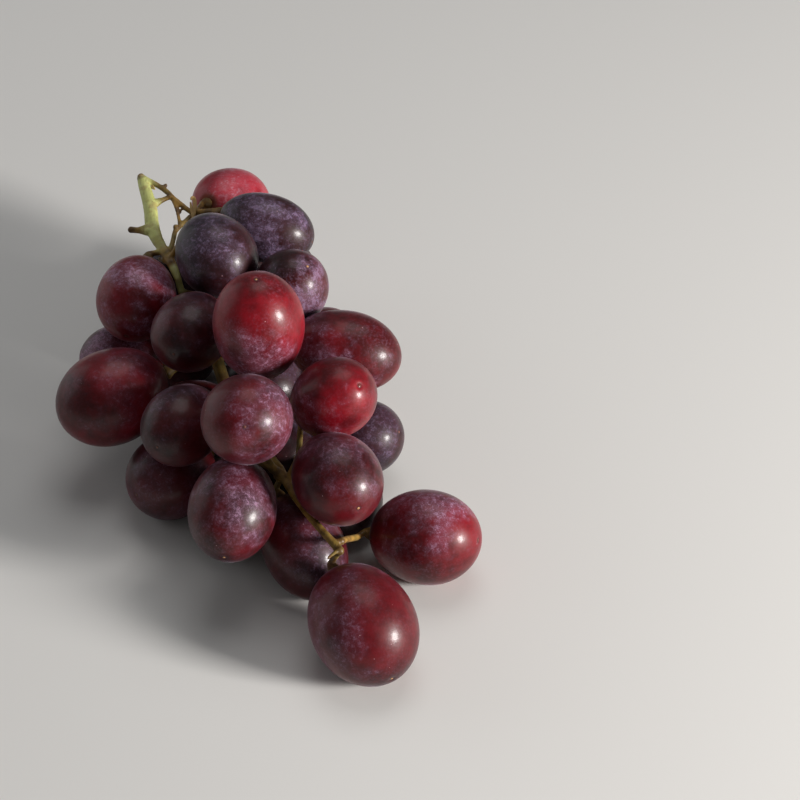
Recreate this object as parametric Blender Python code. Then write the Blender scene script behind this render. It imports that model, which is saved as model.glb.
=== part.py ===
"""
A bunch of dark table grapes lying on its side.

Every berry is a piece of its own: an egg-shaped body, cut flat where it
rests.  The woody part (peduncle, rachis, laterals and pedicels) is one grown
piece that threads the gaps between the berries and ends a hair short of
each one.  Lengths in this file are millimetres until the meshes are made;
+X is to the right, -Y towards the front, +Z up.
"""
import heapq
import math

import bmesh
import bpy
import numpy as np
from mathutils import Matrix, Vector

for old in list(bpy.data.objects):
    bpy.data.objects.remove(old, do_unlink=True)

# ---------------------------------------------------------------- dimensions
BUNCH_LENGTH = 165.0     # front to back
BUNCH_WIDTH = 108.0      # left to right
BUNCH_HEIGHT = 68.0      # resting height
BERRY_WIDTH = 21.3       # typical berry, across
BERRY_LENGTH = 25.6      # typical berry, stalk to style scar
CLEARANCE = 0.35         # left between neighbouring pieces
REST_FLAT = 0.22         # how far a resting berry is flattened
PEDICEL = 1.8            # stalk of one berry, across
RACHIS = 3.6             # main stem, across
RECEPTACLE = 3.3         # swollen head of a pedicel, across
STALK_GAP = 0.32         # pedicel head to its berry

BERRY_SEGMENTS = 16
BERRY_RINGS = 10

# name, x, y, z, width, length, azimuth and elevation of the far end, rests
BERRIES = [
    # upper face, from the stalk to the tip
    ("berry_01", -49, 46.5, 35, 21.3, 26.0, 58, -32, 0),
    ("berry_02", -37.5, 22, 43, 18.7, 27.2, -19, -7, 0),
    ("berry_03", -47, -2, 51, 21.3, 25.0, -62, -5, 0),
    ("berry_04", -31, -9, 46, 20.0, 24.0, -33, 59, 0),
    ("berry_05", -36, -35, 54, 23.2, 30.4, -90, 88, 0),
    ("berry_06", -15, -24, 38.5, 20.8, 29.8, -15, -3, 0),
    ("berry_07", -17, -50, 42, 20.3, 25.8, -41, 45, 0),
    ("berry_11", -55, -22, 42, 20.0, 24.6, -107, 8, 0),
    ("berry_13", -38, -63, 44.5, 22.3, 25.4, -88, 32, 0),
    ("berry_14", -41, -74, 28.5, 21.8, 27.3, -97, -18, 0),
    ("berry_16", -16, -70, 33, 21.8, 26.0, -65, 4, 0),
    # left flank
    ("berry_08", -71, 0, 35, 21.3, 24.2, -100, -20, 0),
    ("berry_09", -76, -2, 17.5, 19.5, 23.0, -172, 6, 0),
    ("berry_10", -76, -27, 23.5, 25.2, 30.8, -152, -8, 0),
    ("berry_12", -56, -47, 31, 19.9, 24.3, -117, 8, 0),
    ("berry_15", -60, -44, 12, 22.0, 25.0, -132, 7, 1),
    ("berry_21", -60.5, 17.5, 27, 19.5, 22.5, 170, 40, 0),
    # right flank and tip
    ("berry_17", -12, -35, 15, 20.0, 23.0, -19, 26, 0),
    ("berry_18", 6, -67.5, 13, 23.7, 29.3, -21, 14, 1),
    ("berry_19", -9, -101, 14, 25.2, 31.7, -62, -17, 1),
    ("berry_20", -25, -72, 12, 20.5, 28.5, -59, -29, 1),
    ("berry_22", -14, -52, 12, 19.5, 22.5, -59, -29, 1),
    # underside and back
    ("berry_23", -42, -56, 12, 20.5, 24.0, -100, -10, 1),
    ("berry_24", -56, -22, 12, 21.5, 24.5, -170, 0, 1),
    ("berry_25", -31, -36, 12, 20.5, 24.0, -80, 0, 1),
    ("berry_26", -63, 9, 12, 20.5, 23.0, 165, 0, 1),
    ("berry_27", -37, -9, 12, 21.0, 23.5, -20, -10, 1),
    ("berry_28", -43, 15, 12, 20.0, 23.0, 80, -20, 1),
    ("berry_29", -18, -13, 11, 19.0, 22.0, 60, -10, 1),
    ("berry_30", -56, 32, 15, 20.0, 24.0, 130, -10, 0),
    ("berry_31", -36, 35, 18, 20.0, 23.0, 60, 0, 0),
    ("berry_32", -33, 4, 32, 19.0, 23.0, 30, 10, 0),
    ("berry_33", -46, 23, 30, 18.5, 22.0, 100, 10, 0),
    ("berry_34", -23, 16, 11, 18.5, 21.0, 30, -10, 1),
]

# The woody lines that are grown first: points (x, y, z) and radius at each.
# flat > 1 widens a line across the way it faces, towards the front and up.
WOOD = {
    "rachis": dict(flat=1.0, line=[
        (-59.4, -0.6, 38.5, 1.05), (-57.0, -5.0, 33.0, 1.5), (-50.0, -14.0, 28.0, 1.8),
        (-47.0, -24.0, 26.0, 1.8), (-43.0, -35.0, 24.0, 1.7), (-38.0, -46.0, 25.0, 1.6),
        (-31.0, -57.0, 25.0, 1.35), (-26.4, -67.5, 24.8, 1.12), (-22.6, -74.0, 24.3, 1.05),
        (-19.9, -78.0, 23.7, 1.0), (-17.4, -81.2, 23.3, 1.05), (-14.9, -85.0, 22.8, 1.15)]),
    "peduncle": dict(flat=1.3, line=[
        (-73.3, 38.5, 50.0, 0.95), (-72.0, 34.6, 49.3, 1.36), (-70.4, 29.5, 48.4, 1.5),
        (-69.4, 24.8, 47.6, 1.6), (-68.8, 19.8, 46.7, 1.6), (-67.7, 16.0, 46.0, 1.55),
        (-66.0, 12.4, 45.2, 1.15), (-64.0, 9.3, 44.4, 1.1), (-62.4, 6.4, 43.5, 1.15),
        (-61.0, 2.8, 42.4, 0.85), (-59.9, 0.6, 41.0, 0.78), (-59.5, -0.4, 38.8, 0.85)]),
    "stub": dict(flat=1.0, line=[
        (-69.3, 17.1, 46.2, 1.25), (-72.4, 17.9, 46.2, 0.85), (-74.7, 18.3, 46.2, 0.95)]),
    "lateral_high": dict(flat=1.0, line=[
        (-73.3, 38.5, 50.0, 1.0), (-70.0, 36.6, 49.6, 0.75), (-66.1, 33.7, 48.9, 0.85),
        (-63.6, 30.3, 48.5, 0.75), (-60.7, 27.7, 47.6, 0.75), (-58.1, 25.7, 46.4, 0.85),
        (-56.9, 28.2, 45.5, 0.8)]),
    "bridge": dict(flat=1.0, line=[
        (-69.8, 26.6, 48.0, 1.15), (-67.2, 29.4, 48.1, 0.78), (-64.2, 30.9, 48.6, 0.72)]),
    "lateral_low": dict(flat=1.0, line=[
        (-63.6, 8.9, 44.0, 0.9), (-62.8, 12.3, 44.6, 0.8), (-62.3, 19.4, 45.3, 0.75),
        (-60.1, 22.5, 45.6, 0.72), (-58.3, 24.8, 46.2, 0.8)]),
    "twig": dict(flat=1.0, line=[
        (-64.0, 30.8, 48.5, 0.7), (-62.4, 27.3, 47.2, 0.6), (-61.6, 23.6, 46.0, 0.55),
        (-61.1, 21.1, 45.4, 0.65)]),
    "spur_left": dict(flat=1.0, line=[
        (-62.4, 6.1, 43.5, 0.85), (-64.4, 7.8, 43.0, 0.7), (-66.2, 10.4, 42.0, 0.65)]),
    "branch_right": dict(flat=1.0, line=[
        (-16.2, -82.6, 23.0, 0.95), (-14.0, -80.2, 22.0, 0.95), (-12.2, -75.5, 18.0, 0.9),
        (-11.0, -72.0, 15.0, 0.9)]),
    "spur_tip": dict(flat=1.0, line=[
        (-15.4, -85.2, 23.1, 0.6), (-16.6, -87.2, 23.7, 0.48), (-17.7, -88.9, 24.0, 0.42)]),
}

# ------------------------------------------------------------------- packing
SX = BUNCH_WIDTH/108.0
SY = BUNCH_LENGTH/165.0
SZ = BUNCH_HEIGHT/68.0
SCALE = np.array([SX, SY, SZ])
FACING = np.array([0.0, 0.766, -0.643])


def pointing(azimuth, elevation):
    """Unit vectors for compass angle and height angle in degrees."""
    az = np.radians(azimuth)
    el = np.radians(elevation)
    return np.stack([np.cos(el)*np.cos(az), np.cos(el)*np.sin(az), np.sin(el)], -1)


def reach(d, u, a, b):
    """Distance from an egg's centre to its tangent plane across direction d."""
    c = np.sum(d*u, -1)
    return np.sqrt(b*b+(a*a-b*b)*c*c)


def egg_gap(v, ui, ai, bi, uj, aj, bj, rounds=14):
    """Widest slab between two eggs whose centres are v apart, and its normal."""
    d = v/np.maximum(np.linalg.norm(v, axis=-1, keepdims=True), 1e-9)
    best = np.full(len(v), -1e9)
    best_d = d.copy()
    for _ in range(rounds):
        hi = reach(d, ui, ai, bi)
        hj = reach(d, uj, aj, bj)
        value = np.sum(d*v, -1)-hi-hj
        better = value > best
        best = np.where(better, value, best)
        best_d = np.where(better[:, None], d, best_d)
        ci = np.sum(d*ui, -1)
        cj = np.sum(d*uj, -1)
        g = v-((bi*bi)[:, None]*d+((ai*ai-bi*bi)*ci)[:, None]*ui)/hi[:, None]
        g = g-((bj*bj)[:, None]*d+((aj*aj-bj*bj)*cj)[:, None]*uj)/hj[:, None]
        g = g-np.sum(g*d, -1, keepdims=True)*d
        d = d+g/(0.6*(hi+hj))[:, None]
        d = d/np.linalg.norm(d, axis=-1, keepdims=True)
    return best, best_d


def air(points, place, axis, a, b):
    """Distance of points to each egg and the way out of it, to first order."""
    w = points[:, None, :]-place[None, :, :]
    c = np.sum(w*axis[None], -1)
    along = c[..., None]*axis[None]
    across = w-along
    rho2 = (c/a[None])**2+np.sum(across**2, -1)/(b[None]**2)
    rho = np.sqrt(np.maximum(rho2, 1e-9))
    g = along/(a[None]**2)[..., None]+across/(b[None]**2)[..., None]
    size = np.maximum(np.linalg.norm(g, axis=-1), 1e-9)
    return rho*(rho-1.0)/size, g/size[..., None]


def line_points(line, step):
    """Points and radii spaced evenly along one woody line."""
    rows = np.array(line, float)
    rows[:, :3] *= SCALE
    rows[:, 3] *= RACHIS/3.6
    run = np.concatenate([[0.0], np.cumsum(np.linalg.norm(np.diff(rows[:, :3], axis=0), axis=1))])
    count = max(2, int(round(run[-1]/step))+1)
    at = np.linspace(0.0, run[-1], count)
    return np.stack([np.interp(at, run, rows[:, k]) for k in range(4)], -1)


def settle(home, axis, a, b, rest, wood, rounds=520):
    """
    Push the eggs apart, off the wood and up from the floor, while each is
    drawn back to its own place; they slide more freely into and out of the
    heap than across it.
    """
    place = home.copy()
    n = len(home)
    first, second = np.triu_indices(n, 1)
    up = np.array([0.0, 0.0, 1.0])
    head = 0.5*RECEPTACLE
    for turn in range(rounds):
        near = np.linalg.norm(place[second]-place[first], axis=1) < a[first]+a[second]+2.0
        i = first[near]
        j = second[near]
        g, d = egg_gap(place[j]-place[i], axis[i], a[i], b[i], axis[j], a[j], b[j])
        push = 0.5*np.maximum(CLEARANCE-g, 0.0)[:, None]*d
        move = np.zeros_like(place)
        np.add.at(move, i, -push)
        np.add.at(move, j, push)
        dist, out = air(wood[:, :3], place, axis, a, b)
        short = np.maximum(CLEARANCE+0.15+wood[:, 3:4]-dist, 0.0)
        worst = np.argmax(short, axis=0)
        every = np.arange(n)
        move -= 0.8*short[worst, every][:, None]*out[worst, every]
        knob = place-(a+0.9*head+0.4)[:, None]*axis
        dist, out = air(knob, place, axis, a, b)
        short = np.maximum(CLEARANCE+head-dist, 0.0)
        np.fill_diagonal(short, 0.0)
        part = 0.5*short[..., None]*out
        move -= part.sum(axis=0)
        move += part.sum(axis=1)
        fade = min(1.0, max(0.0, (0.9-turn/rounds)/0.3))
        pull = home-place
        along = (pull@FACING)[:, None]*FACING
        move += 0.04*fade*(pull-0.75*along)
        place = place+move
        height = reach(up, axis, a, b)-REST_FLAT*rest
        place[:, 2] = np.where(rest > 0, height, np.maximum(place[:, 2], height+0.3))
    return place


names = [row[0] for row in BERRIES]
table = np.array([row[1:] for row in BERRIES], float)
home = table[:, :3]*SCALE
half_w = 0.5*table[:, 3]*BERRY_WIDTH/21.3
half_l = 0.5*table[:, 4]*BERRY_LENGTH/25.6
axis = pointing(table[:, 5], table[:, 6])
rest = table[:, 7]
wood = np.concatenate([line_points(w["line"], 1.5) for w in WOOD.values()])
place = settle(home, axis, half_l, half_w, rest, wood)

# ------------------------------------------------- growing the inner stalks
CELL = 1.25
ROOM = 0.5*PEDICEL+CLEARANCE


def open_space():
    """Grid of the room left between the berries, capped well outside them."""
    low = np.min(place-half_l[:, None], axis=0)-3.0
    high = np.max(place+half_l[:, None], axis=0)+3.0
    low[2] = 0.5*CELL
    shape = np.ceil((high-low)/CELL).astype(int)
    room = np.full(shape, 6.0)
    for k in range(len(place)):
        r = half_l[k]+6.0
        a0 = np.maximum(np.floor((place[k]-r-low)/CELL).astype(int), 0)
        a1 = np.minimum(np.ceil((place[k]+r-low)/CELL).astype(int)+1, shape)
        ax = [low[m]+CELL*np.arange(a0[m], a1[m]) for m in range(3)]
        grid = np.stack(np.meshgrid(*ax, indexing="ij"), -1)
        d, _ = air(grid.reshape(-1, 3), place[k:k+1], axis[k:k+1], half_l[k:k+1], half_w[k:k+1])
        block = room[a0[0]:a1[0], a0[1]:a1[1], a0[2]:a1[2]]
        np.minimum(block, d[:, 0].reshape(block.shape), out=block)
    return low, shape, room


def nearest_open(point, low, shape, open_cells, reach_mm):
    """The open cell closest to a point, or -1."""
    c = np.round((point-low)/CELL).astype(int)
    n = int(math.ceil(reach_mm/CELL))
    best = -1
    best_d = 1e9
    for dx in range(-n, n+1):
        for dy in range(-n, n+1):
            for dz in range(-n, n+1):
                q = c+np.array([dx, dy, dz])
                if np.any(q < 1) or np.any(q >= shape-1):
                    continue
                if not open_cells[q[0], q[1], q[2]]:
                    continue
                d = float(np.sum((low+q*CELL-point)**2))
                if d < best_d:
                    best_d = d
                    best = int((q[0]*shape[1]+q[1])*shape[2]+q[2])
    return best


def grow():
    """
    Shortest ways through the gaps from every pedicel head back to the woody
    lines; ways that meet run on together, which makes the laterals.
    """
    low, shape, room = open_space()
    open_cells = room > ROOM
    cost = 1.0+1.2*np.maximum(2.4-room, 0.0)+1.5*np.maximum(room-4.0, 0.0)
    inside = open_cells.copy()
    inside[[0, -1], :, :] = False
    inside[:, [0, -1], :] = False
    inside[:, :, [0, -1]] = False
    flat_cost = np.where(inside, cost, -1.0).ravel().tolist()
    sy = int(shape[1]*shape[2])
    sz = int(shape[2])
    steps = []
    for dx in (-1, 0, 1):
        for dy in (-1, 0, 1):
            for dz in (-1, 0, 1):
                if dx or dy or dz:
                    steps.append((dx*sy+dy*sz+dz, CELL*math.sqrt(dx*dx+dy*dy+dz*dz)))
    far = [1e9]*len(flat_cost)
    parent = [-1]*len(flat_cost)
    root = {}
    heap = []
    for m, row in enumerate(wood):
        if row[3] < 0.7:
            continue
        cell = nearest_open(row[:3], low, shape, inside, 3.0)
        if cell >= 0 and far[cell] > 0.0:
            far[cell] = 0.0
            root[cell] = m
            heap.append((0.0, cell))
    heapq.heapify(heap)
    heads = {}
    for k in range(len(place)):
        knob = place[k]-(half_l[k]+3.2)*axis[k]
        cell = nearest_open(knob, low, shape, inside, 6.0)
        if cell >= 0:
            heads[k] = cell
    waiting = set(heads.values())
    while heap and waiting:
        f, cell = heapq.heappop(heap)
        if f > far[cell]:
            continue
        waiting.discard(cell)
        for step, length in steps:
            q = cell+step
            c = flat_cost[q]
            if c < 0.0:
                continue
            g = f+length*0.5*(c+flat_cost[cell])
            if g < far[q]:
                far[q] = g
                parent[q] = cell
                heapq.heappush(heap, (g, q))
    index = {}
    pos = []
    up = []
    load = []
    fixed = []
    owner = []

    def add(p, above, hold, who=-1):
        pos.append(p)
        up.append(above)
        load.append(0)
        fixed.append(hold)
        owner.append(who)
        return len(pos)-1

    for k in range(len(place)):
        if k not in heads or far[heads[k]] > 1e8:
            print("no way for", names[k])
            continue
        trail = [heads[k]]
        while parent[trail[-1]] >= 0 and trail[-1] not in index:
            trail.append(parent[trail[-1]])
        last = trail[-1]
        if last not in index:
            base = wood[root[last]]
            anchor = add(base[:3].copy(), -1, True)
            c = np.array(np.unravel_index(last, shape))
            index[last] = add(low+c*CELL, anchor, False)
        above = index[last]
        for cell in reversed(trail[:-1]):
            c = np.array(np.unravel_index(cell, shape))
            above = add(low+c*CELL, above, False)
            index[cell] = above
        neck = add(place[k]-(half_l[k]+2.6)*axis[k], above, True, k)
        mouth = add(place[k]-(half_l[k]+STALK_GAP)*axis[k], neck, True, k)
        q = mouth
        while q >= 0:
            load[q] += 1
            q = up[q]
    return np.array(pos), up, load, fixed, owner


def smooth(pos, up, load, fixed):
    """Pull the ways tight while keeping them clear of berries and floor."""
    pos = pos.copy()
    n = len(pos)
    up = np.array(up)
    load = np.array(load)
    hold = np.array(fixed)
    want = 0.5*PEDICEL*load**0.38
    has = np.where(up >= 0)[0]
    links = np.zeros(n)
    np.add.at(links, has, 1.0)
    np.add.at(links, up[has], 1.0)
    for turn in range(90):
        mean = np.zeros_like(pos)
        np.add.at(mean, has, pos[up[has]])
        np.add.at(mean, up[has], pos[has])
        mean /= np.maximum(links, 1.0)[:, None]
        new = 0.5*pos+0.5*mean
        for _ in range(2):
            dist, out = air(new, place, axis, half_l, half_w)
            near = np.argmin(dist, axis=1)
            every = np.arange(n)
            short = np.maximum(want+CLEARANCE+0.1-dist[every, near], 0.0)
            new = new+short[:, None]*out[every, near]
            new[:, 2] = np.maximum(new[:, 2], want+0.8)
        pos = np.where(hold[:, None], pos, new)
    dist, _ = air(pos, place, axis, half_l, half_w)
    room = dist.min(axis=1)
    radius = np.minimum(want, np.maximum(room-CLEARANCE, 0.45))
    return pos, radius, room


pos, up, load, fixed, owner = grow()
pos, radius, room = smooth(pos, up, load, fixed)


# ------------------------------------------------------------- meshes
bunch = bpy.data.collections.new("grape_bunch")
tools = bpy.data.collections.new("stalk_lines")
bpy.context.scene.collection.children.link(bunch)
bpy.context.scene.collection.children.link(tools)


def material(name, colour, rough):
    """One plain Principled material."""
    mat = bpy.data.materials.new(name)
    mat.use_nodes = True
    shader = mat.node_tree.nodes["Principled BSDF"]
    shader.inputs["Base Color"].default_value = (*colour, 1.0)
    shader.inputs["Roughness"].default_value = rough
    shader.inputs["Metallic"].default_value = 0.0
    mat.diffuse_color = (*colour, 1.0)
    return mat


SKIN_RED = material("skin_red", (0.24, 0.018, 0.024), 0.32)
SKIN_MAROON = material("skin_maroon", (0.105, 0.018, 0.030), 0.38)
SKIN_DARK = material("skin_dark", (0.030, 0.014, 0.026), 0.42)
STALK = material("stalk", (0.30, 0.26, 0.085), 0.70)
REDDISH = ("berry_01", "berry_05", "berry_07")
MAROON = ("berry_06", "berry_10", "berry_13", "berry_14", "berry_16", "berry_18", "berry_19")


def add_object(name, bm, mat, where):
    """Turn a bmesh in millimetres into an object in metres."""
    bmesh.ops.scale(bm, vec=(0.001, 0.001, 0.001), verts=bm.verts)
    mesh = bpy.data.meshes.new(name)
    bm.to_mesh(mesh)
    bm.free()
    mesh.materials.append(mat)
    ob = bpy.data.objects.new(name, mesh)
    where.objects.link(ob)
    return ob


def berry(k):
    """
    An egg: a sphere drawn out along its axis, a little fuller towards the
    far end than at the stalk, then cut flat at the ground if it rests.
    """
    bm = bmesh.new()
    bmesh.ops.create_uvsphere(bm, u_segments=BERRY_SEGMENTS, v_segments=BERRY_RINGS, radius=1.0)
    w = half_w[k]
    for v in bm.verts:
        t = v.co.z
        full = 1.0+0.035*t*(1.0-t*t)
        v.co = Vector((v.co.x*w*full, v.co.y*w*full, t*half_l[k]))
    turn = Vector((0, 0, 1)).rotation_difference(Vector(axis[k]))
    put = Matrix.Translation(Vector(place[k])) @ turn.to_matrix().to_4x4()
    bmesh.ops.transform(bm, matrix=put, verts=bm.verts)
    if rest[k] > 0:
        drop = min(v.co.z for v in bm.verts)+REST_FLAT
        bmesh.ops.translate(bm, vec=(0.0, 0.0, -drop), verts=bm.verts)
        geom = bm.verts[:]+bm.edges[:]+bm.faces[:]
        cut = bmesh.ops.bisect_plane(bm, geom=geom, plane_co=(0, 0, 0.0),
                                     plane_no=(0, 0, -1), clear_outer=True)
        rim = [e for e in cut["geom_cut"] if isinstance(e, bmesh.types.BMEdge)]
        bmesh.ops.contextual_create(bm, geom=rim)
    bmesh.ops.remove_doubles(bm, verts=bm.verts, dist=0.002)
    bmesh.ops.recalc_face_normals(bm, faces=bm.faces)
    mat = SKIN_RED if names[k] in REDDISH else SKIN_MAROON if names[k] in MAROON else SKIN_DARK
    return add_object(names[k], bm, mat, bunch)


def tube(name, points, radii, sides, flat=1.0, phase=0.0):
    """
    A stalk: rings of points square to the line, carried along without
    twisting, joined by quads and closed at both ends.
    """
    pts = np.array(points, float)
    tan = np.gradient(pts, axis=0)
    tan /= np.maximum(np.linalg.norm(tan, axis=1, keepdims=True), 1e-9)
    side = np.cross(tan[0], FACING)
    if np.linalg.norm(side) < 0.2:
        side = np.cross(tan[0], np.array([0.3, 0.5, 0.8]))
    bm = bmesh.new()
    rings = []
    for m in range(len(pts)):
        side = side-np.dot(side, tan[m])*tan[m]
        side /= np.linalg.norm(side)
        other = np.cross(tan[m], side)
        ring = []
        for s in range(sides):
            ang = 2.0*math.pi*(s+phase)/sides
            co = pts[m]+radii[m]*(flat*math.cos(ang)*side+math.sin(ang)/flat*other)
            ring.append(bm.verts.new(co))
        rings.append(ring)
    for lower, upper in zip(rings[:-1], rings[1:]):
        for s in range(sides):
            bm.faces.new((lower[s], lower[(s+1) % sides], upper[(s+1) % sides], upper[s]))
    bm.faces.new(list(reversed(rings[0])))
    bm.faces.new(rings[-1])
    bmesh.ops.recalc_face_normals(bm, faces=bm.faces)
    return add_object(name, bm, STALK, tools)


def knuckle(name, point, radius, tilt):
    """The swelling where stalks meet."""
    bm = bmesh.new()
    bmesh.ops.create_icosphere(bm, subdivisions=1, radius=radius)
    spin = Matrix.Rotation(tilt, 4, Vector((0.4, 0.5, 0.77)))
    put = Matrix.Translation(Vector(point)) @ spin
    bmesh.ops.transform(bm, matrix=put, verts=bm.verts)
    return add_object(name, bm, STALK, tools)


def chains():
    """Cut the grown ways into runs between forks, each with its radii."""
    below = {}
    for m, q in enumerate(up):
        if q >= 0:
            below.setdefault(q, []).append(m)
    runs = []
    forks = []
    starts = [m for m, q in enumerate(up) if q < 0]
    while starts:
        top = starts.pop()
        for first in below.get(top, []):
            run = [top, first]
            while len(below.get(run[-1], [])) == 1:
                run.append(below[run[-1]][0])
            runs.append(run)
            if below.get(run[-1]):
                starts.append(run[-1])
                forks.append(run[-1])
    return runs, forks


def stalk(twist):
    """Every woody line and every grown way as closed tubes and knuckles."""
    parts = []
    for key, wood_line in WOOD.items():
        rows = line_points(wood_line["line"], 3.6 if key in ("rachis", "peduncle") else 2.6)
        sides = 10 if key in ("rachis", "peduncle") else 8
        parts.append(tube(key, rows[:, :3], rows[:, 3], sides, wood_line["flat"], 0.17+twist))
    runs, forks = chains()
    for m, run in enumerate(runs):
        last = run[-1]
        r = radius[run].copy()
        p = pos[run]
        if load[run[0]] > 1 or up[run[0]] < 0:
            r[0] = min(r[0], r[1])
        if owner[last] >= 0:
            body = list(range(0, len(run)-2, 3))
            if len(run)-3 not in body and len(run) > 3:
                body.append(len(run)-3)
            body = [q for q in body if q < len(run)-2]
            k = owner[last]
            head = 0.5*RECEPTACLE
            ends = [(2.6, 0.62), (1.5, 0.80), (0.75, 1.0), (STALK_GAP, 0.86)]
            extra = np.array([place[k]-(half_l[k]+e[0])*axis[k] for e in ends])
            extra_r = np.array([e[1]*head for e in ends])
            pts = np.concatenate([p[body], extra])
            rad = np.concatenate([r[body], extra_r])
        else:
            body = list(range(0, len(run)-1, 3))+[len(run)-1]
            pts = p[body]
            rad = r[body]
        parts.append(tube("run_%03d" % m, pts, rad, 6, 1.0, 0.13*m+twist))
    for m, q in enumerate(forks):
        size = min(1.3*radius[q], room[q]-0.8*CLEARANCE)
        if size > 1.02*radius[q]:
            parts.append(knuckle("fork_%03d" % m, pos[q], size, 0.7*m+twist))
    tip = line_points(WOOD["rachis"]["line"], 3.6)[-1]
    parts.append(knuckle("knuckle_tip", tip[:3], 1.25*tip[3], 0.4+twist))
    top = line_points(WOOD["peduncle"]["line"], 3.6)[0]
    parts.append(knuckle("knuckle_top", top[:3], 1.3*top[3], 0.9+twist))
    turn = line_points(WOOD["rachis"]["line"], 3.6)[0]
    parts.append(knuckle("knuckle_turn", turn[:3], 1.12*turn[3], 1.3+twist))
    return parts


for k in range(len(names)):
    berry(k)


def drop_fins(bm):
    """Remove flaps of no thickness: two triangles back to back on one trio."""
    seen = {}
    for f in bm.faces:
        seen.setdefault(frozenset(v.index for v in f.verts), []).append(f)
    fins = [f for same in seen.values() if len(same) == 2 for f in same]
    bmesh.ops.delete(bm, geom=fins, context="FACES")


def grown_together(twist):
    """Unite the stalk lines; twist turns their rings so no faces coincide."""
    parts = stalk(twist)
    body = parts[0]
    branches = bpy.data.collections.new("stalk_branches")
    tools.children.link(branches)
    for ob in parts[1:]:
        tools.objects.unlink(ob)
        branches.objects.link(ob)
        ob.hide_render = True
        ob.display_type = "WIRE"
    join = body.modifiers.new("grown together", "BOOLEAN")
    join.operation = "UNION"
    join.operand_type = "COLLECTION"
    join.collection = branches
    join.solver = "EXACT"
    bpy.context.view_layer.update()
    bm = bmesh.new()
    bm.from_object(body, bpy.context.evaluated_depsgraph_get())
    bmesh.ops.triangulate(bm, faces=bm.faces)
    bm.verts.index_update()
    drop_fins(bm)
    for ob in parts:
        bpy.data.objects.remove(ob, do_unlink=True)
    bpy.data.collections.remove(branches)
    bad = sum(1 for e in bm.edges if not e.is_manifold)
    return bm, bad


best = None
for attempt in range(10):
    trial, bad = grown_together(0.37*attempt)
    if best is None or bad < best[1]:
        if best is not None:
            best[0].free()
        best = (trial, bad)
    else:
        trial.free()
    if bad == 0:
        break
print("stem triangles", len(best[0].faces), "loose edges", best[1], "tries", attempt+1)
mesh = bpy.data.meshes.new("stem")
best[0].to_mesh(mesh)
best[0].free()
mesh.materials.clear()
mesh.materials.append(STALK)
stem = bpy.data.objects.new("stem", mesh)
bunch.objects.link(stem)

# The origin is the middle of the footprint, on the surface it lies on.
corners = [v.co for ob in bunch.objects for v in ob.data.vertices]
mid_x = 0.5*(min(c.x for c in corners)+max(c.x for c in corners))
mid_y = 0.5*(min(c.y for c in corners)+max(c.y for c in corners))
for ob in bunch.objects:
    ob.data.transform(Matrix.Translation((-mid_x, -mid_y, 0.0)))
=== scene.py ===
import math

import bpy
import numpy as np
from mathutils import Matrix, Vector


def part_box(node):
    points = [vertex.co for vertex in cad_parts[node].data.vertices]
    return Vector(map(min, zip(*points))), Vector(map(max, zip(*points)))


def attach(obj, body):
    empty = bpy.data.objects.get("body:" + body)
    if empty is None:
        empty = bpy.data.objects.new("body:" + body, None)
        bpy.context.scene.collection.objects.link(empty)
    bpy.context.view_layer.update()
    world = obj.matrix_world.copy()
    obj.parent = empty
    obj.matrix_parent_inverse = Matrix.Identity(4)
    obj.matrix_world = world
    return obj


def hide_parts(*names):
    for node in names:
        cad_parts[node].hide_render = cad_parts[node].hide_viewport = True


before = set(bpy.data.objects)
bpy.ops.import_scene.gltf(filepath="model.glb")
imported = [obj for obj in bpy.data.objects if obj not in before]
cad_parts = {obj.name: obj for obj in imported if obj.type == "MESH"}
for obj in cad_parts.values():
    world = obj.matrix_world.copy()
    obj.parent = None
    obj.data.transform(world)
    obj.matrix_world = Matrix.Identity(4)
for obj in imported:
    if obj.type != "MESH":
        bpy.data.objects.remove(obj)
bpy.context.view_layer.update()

# ---------------------------------------------------------------- the berries
# Oval table grapes: a thin, tight skin over soft flesh, blackish purple where
# ripe and wine red where the light has not reached, under a waxy bloom.
# Each grows from the swollen head of its own stalk and ends in a style scar.


def cad_points(node):
    """The distinct corners of a CAD solid, as an array of (x, y, z)."""
    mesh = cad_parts[node].data
    co = np.empty(len(mesh.vertices)*3, np.float32)
    mesh.vertices.foreach_get("co", co)
    return np.unique(np.round(co.reshape(-1, 3).astype(float), 7), axis=0)


def measure(node, stem_points):
    """
    Centre, axis, half length and half width of a berry solid: the axis is
    the direction in which its corners spread most, turned away from the
    stalk; the half width is the farthest corner from that axis.
    """
    p = cad_points(node)
    centre = p.mean(axis=0)
    axis = np.linalg.svd(p-centre, full_matrices=False)[2][0]
    t = (p-centre)@axis
    half_l = 0.5*(t.max()-t.min())
    centre = centre+0.5*(t.max()+t.min())*axis
    side = p-centre-np.outer((p-centre)@axis, axis)
    half_w = np.linalg.norm(side, axis=1).max()
    near = np.linalg.norm(stem_points-(centre-half_l*axis), axis=1).min()
    far = np.linalg.norm(stem_points-(centre+half_l*axis), axis=1).min()
    if near > far:
        axis = -axis
    return centre, axis, half_l, half_w


stem_points = cad_points("stem")
berry_names = sorted(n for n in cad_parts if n.startswith("berry_"))
berries = {n: measure(n, stem_points) for n in berry_names}
# A berry lies on the table when its solid comes this near to it.
TABLE_REACH = 0.0002
resting = {n for n in berry_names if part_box(n)[0][2] < TABLE_REACH}

# A berry's skin stands out from its solid by SWELL, so that neighbours meet.
SWELL = 0.00017
AROUND = 88
ALONG = 64
# Height and spread of the pit round the stalk, of the rim about that pit, of
# the dimple at the scar and of the nipple in the dimple.
PIT = (0.00046, 0.0023)
RIM = (0.00016, 0.0009)
RIM_RADIUS = 0.0030
DIMPLE = (0.00030, 0.00085)
NIPPLE = (0.00026, 0.00034)
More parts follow.
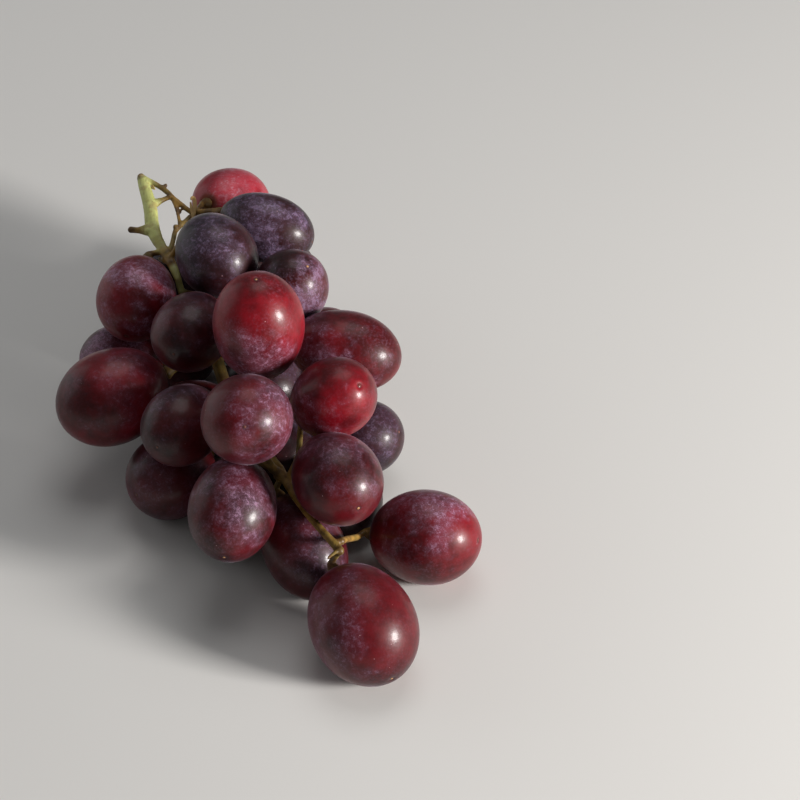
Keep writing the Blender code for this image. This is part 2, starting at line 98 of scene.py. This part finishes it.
# Neighbours are looked for within NEIGHBOUR and press when nearer than TOUCH;
# a pressed flat starts PRESS_START early and rounds off over PRESS_SOFT, and
# the flat on the table over REST_SOFT.
NEIGHBOUR = 0.002
TOUCH = 2.0*SWELL+0.0001
PRESS_START = 0.00002
PRESS_SOFT = 0.00012
REST_SOFT = 0.00010
# A direction that no berry and no stalk runs along.
ASLANT = (0.31, 0.52, 0.79)


def across_pair(axis):
    """Two unit vectors square to an axis and to each other."""
    first = np.cross(axis, ASLANT)
    first = first/np.linalg.norm(first)
    return first, np.cross(axis, first)


def lumps(u, t, rng, size):
    """
    Low waves round and along a berry: a sum of five random cosines in u and
    t, each faded out at the ends by sin(t)^2, scaled to about size.
    """
    out = np.zeros_like(u)
    for _ in range(5):
        k = rng.integers(1, 4)
        m = rng.integers(1, 4)
        a, b = rng.uniform(0.0, 2.0*math.pi, 2)
        out += rng.normal(0.0, 1.0)*np.cos(k*u+a)*np.cos(m*t+b)*np.sin(t)**2
    return size*out/2.2


def reach(node, d):
    """
    How far a berry reaches from its centre toward d, and the point where it
    does: h = sqrt(W W + (L L - W W) (d . axis)^2), with the point at
    (W W d + (L L - W W) (d . axis) axis) / h from the centre.
    """
    _, axis, half_l, half_w = berries[node]
    longer = half_l*half_l-half_w*half_w
    along = d@axis
    h = math.sqrt(half_w*half_w+longer*along**2)
    return h, (half_w*half_w*d+longer*along*axis)/h


def contact_planes(node):
    """
    For each berry that all but touches this one, the plane half way between
    them: found by climbing to the direction that separates the two most.
    """
    centre, _, half_l, _ = berries[node]
    planes = []
    for other in berry_names:
        apart = berries[other][0]-centre
        if other == node or np.linalg.norm(apart) > half_l+berries[other][2]+NEIGHBOUR:
            continue
        d = apart/np.linalg.norm(apart)
        for _ in range(40):
            near_h, near_point = reach(node, d)
            far_h, far_point = reach(other, d)
            slope = apart-near_point-far_point
            d = d+(slope-(slope@d)*d)/(0.6*(near_h+far_h))
            d = d/np.linalg.norm(d)
        gap = apart@d-near_h-far_h
        if gap < TOUCH:
            planes.append((d, centre@d+near_h+0.5*gap))
    return planes


def soft_above(x, soft):
    """soft log(1 + exp(x / soft)): x where well above nought, easing to nought below it."""
    return soft*np.log1p(np.exp(np.clip(x/soft, -30.0, 30.0)))


def make_object(name, co, faces):
    """A smooth-shaded object from points and faces, its place in its mesh."""
    mesh = bpy.data.meshes.new(name)
    mesh.from_pydata(co.tolist(), [], faces)
    mesh.polygons.foreach_set("use_smooth", np.ones(len(mesh.polygons), bool))
    mesh.update()
    obj = bpy.data.objects.new(name, mesh)
    bpy.context.scene.collection.objects.link(obj)
    return obj


def attribute(obj, name, values):
    """One number for each point of a mesh, for its material to read."""
    data = obj.data.attributes.new(name, "FLOAT", "POINT")
    data.data.foreach_set("value", np.asarray(values, np.float32))


def closed_grid(rows, cols):
    """Faces of a grid closed round, with a point at each end after it."""
    index = np.arange(rows*cols).reshape(rows, cols)
    right = np.roll(index, -1, axis=1)
    quads = np.stack([index[:-1], right[:-1], right[1:], index[1:]], axis=-1).reshape(-1, 4)
    start = np.full(cols, rows*cols)
    first = np.stack([start, right[0], index[0]], axis=-1)
    last = np.stack([start+1, index[-1], right[-1]], axis=-1)
    return [tuple(f) for f in quads.tolist()+first.tolist()+last.tolist()]


def bell(x, height, spread):
    """height exp(-(x / spread)^2)."""
    return height*np.exp(-(x/spread)**2)


def grape(node, seed, wax_side):
    """
    A berry as a grid of u round it and s along it, from the stalk (s = 0) to
    the style scar (s = 1).  The angle t = pi (s - 0.7 sin(2 pi s) / 2 pi)
    packs rings at both ends.  A point is
        centre - L cos(t) axis + W sin(t) f(t) (cos u, sin u)
    with f a little fuller beyond the middle, then low lumps, a shallow pit
    with a rim round the stalk, a dimple with a nipple at the scar, and flats
    where it presses on its neighbours or on the table.
    """
    rng = np.random.default_rng(seed)
    c, ax, half_l, half_w = berries[node]
    e1, e2 = across_pair(ax)
    s = np.linspace(0.0, 1.0, ALONG+1)[1:-1]
    t = math.pi*(s-0.7*np.sin(2.0*math.pi*s)/(2.0*math.pi))
    u = np.linspace(0.0, 2.0*math.pi, AROUND, endpoint=False)
    tt, uu = np.meshgrid(t, u, indexing="ij")
    z = -np.cos(tt)
    grow = 1.0+lumps(uu, tt, rng, 0.010)
    oval = 1.0+rng.uniform(-0.012, 0.012)*np.cos(2.0*uu+rng.uniform(0.0, 6.0))
    ring = (half_w+SWELL)*np.sin(tt)
    wide = ring*(1.0+0.035*z*(1.0-z*z))*grow*oval
    tall = (half_l+SWELL)*z*(1.0+0.3*(grow-1.0))
    pit = bell(ring, *PIT)-bell(ring-RIM_RADIUS, *RIM)
    scar = bell(ring, *DIMPLE)-bell(ring, *NIPPLE)
    tall = tall+np.where(z < 0.0, pit, -scar)
    points = c+tall[..., None]*ax+(wide*np.cos(uu))[..., None]*e1+(wide*np.sin(uu))[..., None]*e2
    stalk_pole = c-(half_l+SWELL-PIT[0])*ax
    scar_pole = c+(half_l+SWELL-(DIMPLE[0]-NIPPLE[0]))*ax
    co = np.concatenate([points.reshape(-1, 3), stalk_pole[None], scar_pole[None]])
    for d, level in contact_planes(node):
        co = co-soft_above(co@d-level+PRESS_START, PRESS_SOFT)[:, None]*d
    if node in resting:
        co[:, 2] += soft_above(-co[:, 2], REST_SOFT)
    co[:, 2] = np.maximum(co[:, 2], 0.0)
    obj = make_object("skin_"+node, co, closed_grid(ALONG-1, AROUND))
    side = (co-c)@ax
    r = np.linalg.norm(co-c-np.outer(side, ax), axis=1)
    far_off = 0.02
    attribute(obj, "from_stalk", np.where(side < 0.0, r, far_off))
    attribute(obj, "from_scar", np.where(side > 0.0, r, far_off))
    out = (co-c)/np.linalg.norm(co-c, axis=1, keepdims=True)
    toward = np.array(wax_side, float)
    attribute(obj, "wax_side", 0.5+0.5*(out@(toward/np.linalg.norm(toward))))
    return obj


def node_link(tree, kind, **inputs):
    """
    A shader node with its settings and sockets filled in.  A socket is named
    with _ for each space, or as _ and its number, and takes a value or
    another node's socket.
    """
    node = tree.nodes.new(kind)
    for key, value in inputs.items():
        if hasattr(node, key) and not key[0].isupper():
            setattr(node, key, value)
            continue
        name = int(key[1:]) if key[0] == "_" else key.replace("_", " ")
        socket = node.inputs[name]
        if isinstance(value, bpy.types.NodeSocket):
            tree.links.new(value, socket)
        else:
            socket.default_value = value
    return node


class Finish:
    """A material's node tree with short words for the nodes it is made of."""

    def __init__(self, name, shift):
        self.mat = bpy.data.materials.new(name)
        self.mat.use_nodes = True
        self.tree = self.mat.node_tree
        self.tree.nodes.clear()
        place = node_link(self.tree, "ShaderNodeTexCoord").outputs["Object"]
        self.spot = node_link(self.tree, "ShaderNodeMapping", Vector=place,
                              Location=shift).outputs[0]

    def noise(self, scale, detail, rough, bend=0.0, spot=None):
        """Cloudy noise; 1/scale is the size of a cloud in metres."""
        return node_link(self.tree, "ShaderNodeTexNoise", Vector=spot or self.spot, Scale=scale,
                         Detail=detail, Roughness=rough, Distortion=bend).outputs["Fac"]

    def spots(self, scale):
        """Distance to the nearest of scattered points, over their spacing of 1/scale metres."""
        return node_link(self.tree, "ShaderNodeTexVoronoi", Vector=self.spot,
                         Scale=scale).outputs["Distance"]

    def ramp(self, value, low, high, a=0.0, b=1.0):
        """Smooth step: a below low, b above high."""
        return node_link(self.tree, "ShaderNodeMapRange", interpolation_type="SMOOTHSTEP",
                         Value=value, From_Min=low, From_Max=high, To_Min=a, To_Max=b).outputs[0]

    def calc(self, op, a, b):
        """One step of arithmetic on two values."""
        return node_link(self.tree, "ShaderNodeMath", operation=op, _0=a, _1=b).outputs[0]

    def mix(self, fac, a, b):
        """Colour a turning to colour b."""
        a = a if isinstance(a, bpy.types.NodeSocket) else (*a, 1.0)
        b = b if isinstance(b, bpy.types.NodeSocket) else (*b, 1.0)
        return node_link(self.tree, "ShaderNodeMix", data_type="RGBA", _0=fac, _6=a, _7=b).outputs[2]

    def attr(self, key):
        """A number kept at each point of the mesh."""
        return node_link(self.tree, "ShaderNodeAttribute", attribute_name=key).outputs["Fac"]

    def surface(self, colour, rough, height, strength, depth, **fixed):
        """The finished shader; fixed are its plain sockets."""
        bump = node_link(self.tree, "ShaderNodeBump", Strength=strength, Distance=depth,
                         Height=height).outputs[0]
        shader = node_link(self.tree, "ShaderNodeBsdfPrincipled", Base_Color=colour,
                           Roughness=rough, Normal=bump, Coat_Normal=bump, **fixed)
        out = self.tree.nodes.new("ShaderNodeOutputMaterial")
        self.tree.links.new(shader.outputs[0], out.inputs["Surface"])
        return self.mat


# Colours of the pale specks, the dark flecks, the ring round the scar and the
# end at the stalk.
SPECK = (0.50, 0.30, 0.33)
FLECK = (0.012, 0.005, 0.007)
SCAR_RING = (0.035, 0.010, 0.010)
STALK_END = (0.12, 0.06, 0.022)


def skin(name, deep, bright, wax_tone, wax, scar_tone, seed):
    """
    Grape skin.  Colour: deep and bright mixed by broad clouds, with a fine
    mottle.  Bloom: pale wax in broad clouds, most on the waxed side; inside
    a cloud it is a thin veil with denser wisps and threads over it, broken
    by fine grain.  Pale specks, dark flecks, a scar dot, a browner stalk end.
    """
    f = Finish(name, (seed*0.37, seed*0.11, 0.0))
    tone = f.calc("ADD", f.ramp(f.noise(55.0, 3.0, 0.5), 0.36, 0.64, 0.0, 0.85),
                  f.ramp(f.noise(430.0, 4.0, 0.6), 0.3, 0.7, -0.16, 0.24))
    colour = f.mix(tone, deep, bright)

    clouds = f.calc("ADD", f.noise(120.0, 4.0, 0.6), f.calc("MULTIPLY", f.attr("wax_side"), 0.46))
    clouds = f.ramp(clouds, 0.76, 0.99)
    wisps = f.ramp(f.noise(760.0, 6.0, 0.74, 0.35), 0.49, 0.62)
    ridge = f.calc("ABSOLUTE", f.calc("SUBTRACT", f.noise(430.0, 4.0, 0.6, 1.4), 0.5), 0.0)
    threads = f.ramp(ridge, 0.000, 0.034, 0.42, 0.0)
    grain = f.ramp(f.noise(3000.0, 3.0, 0.6), 0.36, 0.62, 0.40, 1.0)
    lace = f.calc("MULTIPLY", f.calc("MULTIPLY", clouds, grain), f.calc("MAXIMUM", wisps, threads))
    dust = f.calc("MULTIPLY", f.ramp(f.noise(1500.0, 4.0, 0.7), 0.45, 0.70, 0.0, 0.13),
                  f.ramp(f.noise(90.0, 2.0, 0.5), 0.40, 0.62, 0.25, 1.0))
    veil = f.calc("ADD", f.calc("MULTIPLY", clouds, 0.13), dust)
    cover = f.calc("MULTIPLY", f.calc("ADD", f.calc("MULTIPLY", lace, 0.74), veil), wax)
    cover = f.calc("MINIMUM", cover, 0.72)
    colour = f.mix(cover, colour, wax_tone)

    speck = f.calc("MULTIPLY", f.ramp(f.spots(400.0), 0.040, 0.075, 1.0, 0.0),
                   f.ramp(f.noise(500.0, 1.0, 0.5), 0.57, 0.61))
    colour = f.mix(f.calc("MULTIPLY", speck, 0.6), colour, SPECK)
    colour = f.mix(f.ramp(f.spots(190.0), 0.018, 0.036, 0.7, 0.0), colour, FLECK)
    scar = f.attr("from_scar")
    colour = f.mix(f.ramp(scar, 0.0004, 0.0010, 0.6, 0.0), colour, SCAR_RING)
    colour = f.mix(f.ramp(scar, 0.00022, 0.00040, 0.95, 0.0), colour, scar_tone)
    colour = f.mix(f.ramp(f.attr("from_stalk"), 0.0018, 0.0042, 0.6, 0.0), colour, STALK_END)

    rough = f.calc("ADD", f.ramp(f.noise(300.0, 3.0, 0.6), 0.3, 0.7, 0.38, 0.46),
                   f.calc("MULTIPLY", cover, 0.30))
    height = f.calc("ADD", f.noise(420.0, 3.0, 0.5),
                    f.calc("MULTIPLY", f.noise(2400.0, 3.0, 0.6), 0.25))
    return f.surface(colour, rough, height, 0.13, 0.0004, IOR=1.45, Subsurface_Weight=0.10,
                     Subsurface_Radius=(0.0035, 0.0005, 0.0005), Subsurface_Scale=1.0,
                     Specular_IOR_Level=0.32, Coat_Weight=0.30, Coat_Roughness=0.17,
                     Coat_IOR=1.38, Sheen_Weight=0.13, Sheen_Roughness=0.24,
                     Sheen_Tint=(0.85, 0.68, 0.88, 1.0))


# Skin tones, each as (deep, bright, colour of its bloom).
BLACK = ((0.0080, 0.0022, 0.0030), (0.032, 0.0060, 0.0080), (0.230, 0.160, 0.270))
PLUM = ((0.0200, 0.0016, 0.0022), (0.085, 0.0040, 0.0058), (0.270, 0.170, 0.270))
WINE = ((0.055, 0.0016, 0.0028), (0.180, 0.0032, 0.0085), (0.400, 0.230, 0.350))
CLARET = ((0.030, 0.0014, 0.0024), (0.108, 0.0028, 0.0062), (0.380, 0.220, 0.340))
RED = ((0.088, 0.0014, 0.0036), (0.250, 0.0030, 0.0105), (0.440, 0.230, 0.340))
ROSE = ((0.180, 0.0070, 0.0130), (0.340, 0.015, 0.028), (0.480, 0.280, 0.360))
# Colours of the scar at a berry's end.
TAN = (0.50, 0.27, 0.12)
DULL = (0.16, 0.055, 0.035)
FAINT = (0.030, 0.012, 0.014)
# Each berry's tone, bloom, the side that is most waxed and its scar's colour. These are mostly the
# berries' own, but berries 2, 4, 8, 9, 10 and 11 have lighter tones or more bloom than their skins,
# as painted light for the stronger light that falls on that side of the bunch.
LOOKS = {
    "berry_01": (ROSE, 0.45, (0.3, -0.2, 1.0), DULL),
    "berry_02": (BLACK, 1.60, (-0.2, -0.5, 0.9), DULL),
    "berry_03": (BLACK, 0.90, (-0.4, -0.6, 0.6), FAINT),
    "berry_04": (PLUM, 2.10, (0.8, -0.6, 0.0), TAN),
    "berry_05": (RED, 1.00, (-0.2, -0.9, -0.8), TAN),
    "berry_06": (WINE, 1.10, (-0.6, -0.7, 0.0), DULL),
    "berry_07": (RED, 0.95, (-0.6, -0.6, -0.3), DULL),
    "berry_08": (WINE, 1.70, (0.5, -0.3, 0.9), DULL),
    "berry_09": (CLARET, 1.90, (-0.5, -0.5, 0.8), DULL),
    "berry_10": (WINE, 0.32, (0.4, -0.2, 1.0), DULL),
    "berry_11": (PLUM, 0.35, (0.1, 0.2, 1.0), DULL),
    "berry_12": (PLUM, 0.55, (0.0, 0.2, 1.0), DULL),
    "berry_13": (CLARET, 0.75, (0.8, -0.3, 0.3), DULL),
    "berry_14": (CLARET, 0.90, (0.3, -0.4, 0.9), TAN),
    "berry_15": (PLUM, 0.45, (0.2, -0.8, 0.0), DULL),
    "berry_16": (CLARET, 0.55, (0.3, 0.5, 1.0), TAN),
    "berry_17": (BLACK, 0.55, (0.3, -0.3, 0.8), DULL),
    "berry_18": (WINE, 0.95, (0.0, 0.1, 1.0), DULL),
    "berry_19": (CLARET, 0.55, (-0.9, -0.2, 0.3), TAN),
    "berry_20": (PLUM, 0.55, (0.3, -0.4, 0.8), DULL),
    "berry_21": (BLACK, 0.55, (0.0, 0.0, 1.0), DULL),
    "berry_22": (PLUM, 0.55, (0.0, -0.5, 0.8), DULL),
}
# The inner berries take these tones in turn, with little bloom, all ways round: dark tones and
# little bloom as painted shade, for the shade that falls between the outer berries.
INNER_SHADE_TONES = (PLUM, BLACK, PLUM, CLARET, BLACK)
INNER_SHADE_WAX = 0.40

for order, node in enumerate(berry_names):
    way_round = (math.cos(2.4*order), math.sin(2.4*order), 0.5)
    inner_shade_look = (INNER_SHADE_TONES[order % len(INNER_SHADE_TONES)], INNER_SHADE_WAX, way_round, DULL)
    tones, wax, side, scar_tone = LOOKS.get(node, inner_shade_look)
    piece = grape(node, 100+order, side)
    piece.data.materials.append(skin("skin_"+node, *tones, wax, scar_tone, order+1))
    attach(piece, "root")
    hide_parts(node)

# ------------------------------------------------------------------- the stem
# The woody part, grown as one: a cut peduncle, the rachis and its branches,
# and a stalk with a swollen head to each berry.  Green and ribbed where it is
# thick, brown and dry at the cut, at the joints and in the thin ends.


def turned(start, way, profile, cols=20):
    """
    A closed round shape: rings of the given radii at the given distances
    along a straight line, with a point at each end.
    """
    e1, e2 = across_pair(way)
    u = np.linspace(0.0, 2.0*math.pi, cols, endpoint=False)
    at, r = np.array(profile).T
    ring = r[:, None, None]*(np.cos(u)[None, :, None]*e1+np.sin(u)[None, :, None]*e2)
    points = start+at[:, None, None]*way+ring
    ends = np.stack([start+at[0]*way, start+at[-1]*way])
    return np.concatenate([points.reshape(-1, 3), ends]), closed_grid(len(at), cols)


# The way that flattened pieces of the stem face.
FACING = np.array([0.0, 0.766, -0.643])


def along_line(rows, flat=1.0, cols=20, step=0.0008):
    """
    A closed stalk along a curve through rows of (x, y, z, radius) in mm: a
    ring every step, its path eased three times, each ring an oval of
    radius times flat one way and radius over flat the other.
    """
    rows = np.array(rows, float)*0.001
    run = np.concatenate([[0.0], np.cumsum(np.linalg.norm(np.diff(rows[:, :3], axis=0), axis=1))])
    at = np.linspace(0.0, run[-1], max(4, int(run[-1]/step)))
    rows = np.stack([np.interp(at, run, rows[:, k]) for k in range(4)], -1)
    for _ in range(3):
        rows[1:-1] = 0.25*rows[:-2]+0.5*rows[1:-1]+0.25*rows[2:]
    p, r = rows[:, :3], rows[:, 3]
    tan = np.gradient(p, axis=0)
    tan /= np.linalg.norm(tan, axis=1, keepdims=True)
    side = np.cross(tan, FACING)
    side /= np.linalg.norm(side, axis=1, keepdims=True)
    other = np.cross(tan, side)
    u = np.linspace(0.0, 2.0*math.pi, cols, endpoint=False)
    ring = flat*np.cos(u)[None, :, None]*side[:, None]+np.sin(u)[None, :, None]/flat*other[:, None]
    points = p[:, None]+r[:, None, None]*ring
    return np.concatenate([points.reshape(-1, 3), p[:1], p[-1:]]), closed_grid(len(p), cols)


def merged(shapes, name):
    """Several closed shapes as one loose mesh object."""
    start = 0
    co = []
    faces = []
    for points, part in shapes:
        co.append(points)
        faces += [tuple(k+start for k in f) for f in part]
        start += len(points)
    return make_object(name, np.concatenate(co), faces)


# The places below are in mm, from an origin that lies at SHIFT in the frame.
SHIFT = np.array([35.26, 28.28, 0.0])
# The head of a berry's stalk: distance out from the berry, and radius.
HEADS = [(-0.00055, 0.00090), (-0.00015, 0.00172), (0.00035, 0.00186), (0.00085, 0.00178),
         (0.00150, 0.00140), (0.00240, 0.00098)]
# Lumps where a bud, a scale or a side shoot was: x, y, z and radius in mm.
BUDS = [(-66.0, 34.9, 49.6, 0.62), (-64.6, 30.8, 48.7, 0.85), (-61.7, 26.3, 46.6, 0.75),
        (-62.2, 19.9, 45.9, 0.85), (-74.4, 18.2, 46.2, 0.98), (-73.2, 38.6, 50.1, 1.0),
        (-62.4, 6.5, 43.5, 1.25), (-57.4, 27.0, 45.8, 0.95), (-14.9, -84.9, 22.8, 1.25),
        (-14.6, -81.4, 22.6, 1.05)]
BUD_WAY = np.array([0.2, 0.3, 0.93])
# Webs of rind in the forks of the peduncle, as short flattened stalks.
WEBS = [
    [(-70.4, 26.4, 48.0, 1.1), (-68.6, 28.0, 48.1, 1.15), (-66.8, 29.6, 48.3, 0.70)],
    [(-69.4, 18.6, 46.5, 1.2), (-70.8, 18.0, 46.2, 1.0), (-72.4, 17.9, 46.2, 0.8)],
    [(-72.6, 37.4, 49.8, 0.9), (-70.6, 36.6, 49.6, 0.85), (-68.4, 35.4, 49.4, 0.65)],
]
# Dried scales, two curled up over the fork and a short one above it, each
# with its flat: so many times its radius wide, and so much thinner.
CURLS = [
    ([(-58.3, 23.4, 45.8, 0.36), (-57.6, 25.2, 46.8, 0.38), (-57.3, 27.2, 48.0, 0.34),
      (-57.4, 28.6, 49.0, 0.32), (-57.8, 29.0, 49.7, 0.28), (-58.3, 28.5, 49.8, 0.22),
      (-58.3, 27.9, 49.4, 0.12)], 1.7),
    ([(-57.7, 24.6, 46.4, 0.30), (-58.3, 26.6, 47.8, 0.26), (-58.6, 28.2, 48.6, 0.12)], 1.6),
    ([(-70.0, 34.6, 49.5, 0.40), (-69.4, 33.6, 49.7, 0.30), (-68.8, 32.9, 49.6, 0.08)], 1.7),
]
shapes = []
for order, node in enumerate(berry_names):
    c, ax, half_l, _ = berries[node]
    stretch = 0.92+0.16*((order*7) % 5)/4.0
    shapes.append(turned(c-half_l*ax, -ax, [(a, r*stretch) for a, r in HEADS]))
arc = np.linspace(0.98*math.pi, 0.02*math.pi, 12)
for x, y, z, r in BUDS:
    ball = [(r*0.001*math.cos(a), r*0.001*math.sin(a)) for a in arc]
    shapes.append(turned(np.array([x, y, z])*0.001+SHIFT*0.001, BUD_WAY, ball, 16))
for web in WEBS:
    points, part = along_line(web, 1.2)
    shapes.append((points+SHIFT*0.001, part))
curls = [along_line(line, flat, 16, 0.00022) for line, flat in CURLS]
curls = [(points+SHIFT*0.001, part) for points, part in curls]


def face_list(mesh):
    """The faces of a mesh as tuples of its corners."""
    return [tuple(p.vertices) for p in mesh.polygons]


def corners(mesh):
    """The points of a mesh as an array."""
    co = np.empty(len(mesh.vertices)*3, np.float32)
    mesh.vertices.foreach_get("co", co)
    return co.reshape(-1, 3)


def live_mesh(obj):
    """An object's mesh with its modifiers applied; the object is removed."""
    mesh = bpy.data.meshes.new_from_object(
        obj.evaluated_get(bpy.context.evaluated_depsgraph_get()))
    bpy.data.objects.remove(obj, do_unlink=True)
    return mesh


def stem_bark():
    """
    The CAD stem with its heads, buds and webs, remade as one even skin and
    eased; the thin dried scales are added to it after.
    """
    obj = bpy.data.objects.new("stem_core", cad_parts["stem"].data.copy())
    bpy.context.scene.collection.objects.link(obj)
    weld = obj.modifiers.new("weld", "WELD")
    weld.merge_threshold = 0.000002
    core = live_mesh(obj)
    both = merged([(corners(core), face_list(core))]+shapes, "stem_whole")
    remesh = both.modifiers.new("remesh", "REMESH")
    remesh.mode = "VOXEL"
    remesh.voxel_size = 0.00032
    ease = both.modifiers.new("ease", "SMOOTH")
    ease.factor = 0.5
    ease.iterations = 4
    bark = live_mesh(both)
    return merged([(corners(bark), face_list(bark))]+curls, "stem_bark")


stem = stem_bark()
co = corners(stem.data)


def nearest(spots):
    """Distance of each stem point to the nearest of a few places in mm."""
    spots = (np.array(spots)[:, :3]+SHIFT)*0.001
    return np.linalg.norm(co[:, None]-spots[None], axis=2).min(axis=1)


def fade(distance, full, width):
    """1 as far as full, then falling evenly to 0 over width."""
    return 1.0-np.clip((distance-full)/width, 0.0, 1.0)


# Where the rind is green, where it is half green, and the cut end.
GREEN = [(-72.8, 36.6, 49.6), (-71.6, 33.4, 49.1), (-70.6, 30.0, 48.5), (-69.8, 26.6, 48.0),
         (-69.2, 23.4, 47.3), (-68.7, 20.0, 46.8), (-68.0, 17.0, 46.2)]
GREENISH = [(-66.9, 14.2, 45.6), (-65.6, 11.8, 45.0), (-61.4, 3.4, 42.8), (-60.6, 1.8, 41.8),
            (-59.8, 0.4, 40.6)]
CUT_END = [(-73.5, 39.6, 50.3)]
green = np.maximum(fade(nearest(GREEN), 0.0022, 0.0018),
                   0.62*fade(nearest(GREENISH), 0.0014, 0.0014))
mouths = np.array([berries[n][0]-berries[n][2]*berries[n][1] for n in berry_names])
from_mouth = np.linalg.norm(co[:, None]-mouths[None], axis=2).min(axis=1)
dried = np.zeros(len(co))
dried[len(co)-sum(len(points) for points, _ in curls):] = 1.0
attribute(stem, "green", green)
attribute(stem, "joint", fade(nearest(BUDS), 0.0006, 0.0014))
attribute(stem, "head", fade(from_mouth, 0.0012, 0.0030))
attribute(stem, "dried", dried)
attribute(stem, "cut", fade(nearest(CUT_END), 0.0012, 0.0016))

# Colours of the rind: two ochres and two pale greens that mix in clouds, and
# the patches, streaks and dry places over them.
OCHRES = ((0.125, 0.064, 0.016), (0.35, 0.20, 0.045))
OLIVE = (0.170, 0.145, 0.034)
PALE_GREENS = ((0.42, 0.44, 0.125), (0.66, 0.68, 0.27))
RUSSET = (0.36, 0.25, 0.09)
STREAK = (0.150, 0.085, 0.028)
JOINT = (0.058, 0.025, 0.012)
CUT_WOOD = (0.20, 0.115, 0.055)
BARK_SPECK = (0.060, 0.030, 0.014)
STRAW = (0.52, 0.33, 0.13)


def rind(name):
    """
    Bark and rind: pale green on the peduncle, ochre on the branches, dark
    brown at joints, heads and cuts, straw on dried scales; clouded, and
    streaked along the bunch, with fine grain in the bump.
    """
    f = Finish(name, (0.0, 0.0, 0.0))
    along = node_link(f.tree, "ShaderNodeMapping", Vector=f.spot, Scale=(1.0, 0.22, 0.5)).outputs[0]
    ochre = f.mix(f.ramp(f.noise(300.0, 4.0, 0.6), 0.35, 0.65), *OCHRES)
    ochre = f.mix(f.ramp(f.noise(170.0, 3.0, 0.5), 0.46, 0.60, 0.0, 0.45), ochre, OLIVE)
    green = f.mix(f.noise(180.0, 3.0, 0.6), *PALE_GREENS)
    green = f.mix(f.ramp(f.noise(230.0, 3.0, 0.6), 0.54, 0.68, 0.0, 0.55), green, RUSSET)
    colour = f.mix(f.attr("green"), ochre, green)
    streak = f.ramp(f.noise(1300.0, 4.0, 0.6, 0.0, along), 0.52, 0.74, 0.0, 0.40)
    colour = f.mix(streak, colour, STREAK)
    dark = f.calc("MAXIMUM", f.attr("joint"), f.calc("MULTIPLY", f.attr("head"), 0.8))
    dark = f.calc("MULTIPLY", dark, f.ramp(f.noise(700.0, 3.0, 0.6), 0.30, 0.55, 0.35, 0.92))
    colour = f.mix(dark, colour, JOINT)
    raw = f.ramp(f.noise(900.0, 3.0, 0.6), 0.3, 0.6, 0.5, 0.95)
    colour = f.mix(f.calc("MULTIPLY", f.attr("cut"), raw), colour, CUT_WOOD)
    colour = f.mix(f.ramp(f.spots(520.0), 0.05, 0.12, 0.45, 0.0), colour, BARK_SPECK)
    straw = f.ramp(f.noise(900.0, 3.0, 0.6), 0.35, 0.65, 0.55, 1.0)
    colour = f.mix(f.calc("MULTIPLY", f.attr("dried"), straw), colour, STRAW)
    rough = f.ramp(f.noise(400.0, 3.0, 0.5), 0.3, 0.7, 0.38, 0.56)
    height = f.calc("ADD", f.noise(1700.0, 3.0, 0.6, 0.0, along),
                    f.calc("MULTIPLY", f.noise(600.0, 3.0, 0.6), 0.8))
    return f.surface(colour, rough, height, 0.22, 0.0005, IOR=1.42, Subsurface_Weight=0.08,
                     Subsurface_Radius=(0.0008, 0.0006, 0.0002), Subsurface_Scale=1.0)


stem.data.materials.append(rind("rind"))
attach(stem, "root")
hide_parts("stem")

# ---------------------------------------------------- floor, light and camera
# A plain pale sheet for the floor, a small soft light low on the right, a
# wide dim one on the left and a weak one overhead.
FOCUS = Vector((0.03526, 0.02828, 0.0))
CAMERA_AWAY = 0.600
CAMERA_UP = math.radians(40.0)
mesh = bpy.data.meshes.new("floor")
mesh.from_pydata([(-3, -3, 0), (3, -3, 0), (3, 3, 0), (-3, 3, 0)], [], [(0, 1, 2, 3)])
floor = bpy.data.objects.new("floor", mesh)
bpy.context.scene.collection.objects.link(floor)
paper = bpy.data.materials.new("floor_paper")
paper.use_nodes = True
sheet = paper.node_tree.nodes["Principled BSDF"]
sheet.inputs["Base Color"].default_value = (0.74, 0.73, 0.71, 1.0)
sheet.inputs["Roughness"].default_value = 0.9
mesh.materials.append(paper)


BUNCH_MIDDLE = 0.03


def lamp(name, direction, distance, size, power, colour):
    """A square soft light that looks at the bunch from one direction."""
    light = bpy.data.lights.new(name, "AREA")
    light.size = size
    light.energy = power
    light.color = colour
    obj = bpy.data.objects.new(name, light)
    way = Vector(direction).normalized()
    obj.location = Vector((0.0, 0.0, BUNCH_MIDDLE))+distance*way
    obj.rotation_euler = way.to_track_quat("Z", "Y").to_euler()
    bpy.context.scene.collection.objects.link(obj)


lamp("key", (0.87, -0.41, 0.28), 1.0, 0.22, 15.5, (1.0, 0.97, 0.94))
lamp("fill_left", (-0.90, 0.38, 0.22), 0.9, 0.9, 1.6, (0.93, 0.96, 1.0))
lamp("overhead", (0.1, 0.35, 1.0), 1.4, 0.9, 4.2, (1.0, 1.0, 1.0))

world = bpy.data.worlds.new("room")
world.use_nodes = True
air = world.node_tree.nodes["Background"]
air.inputs["Color"].default_value = (1.0, 1.0, 1.0, 1.0)
air.inputs["Strength"].default_value = 0.11
bpy.context.scene.world = world
bpy.context.scene.view_settings.view_transform = "Standard"

camera = bpy.data.cameras.new("camera")
camera.lens = 95.04
camera.sensor_width = 36.0
eye = bpy.data.objects.new("camera", camera)
view_way = Vector((0.0, -math.cos(CAMERA_UP), math.sin(CAMERA_UP)))
eye.location = FOCUS+CAMERA_AWAY*view_way
eye.rotation_euler = view_way.to_track_quat("Z", "Y").to_euler()
bpy.context.scene.collection.objects.link(eye)
bpy.context.scene.camera = eye
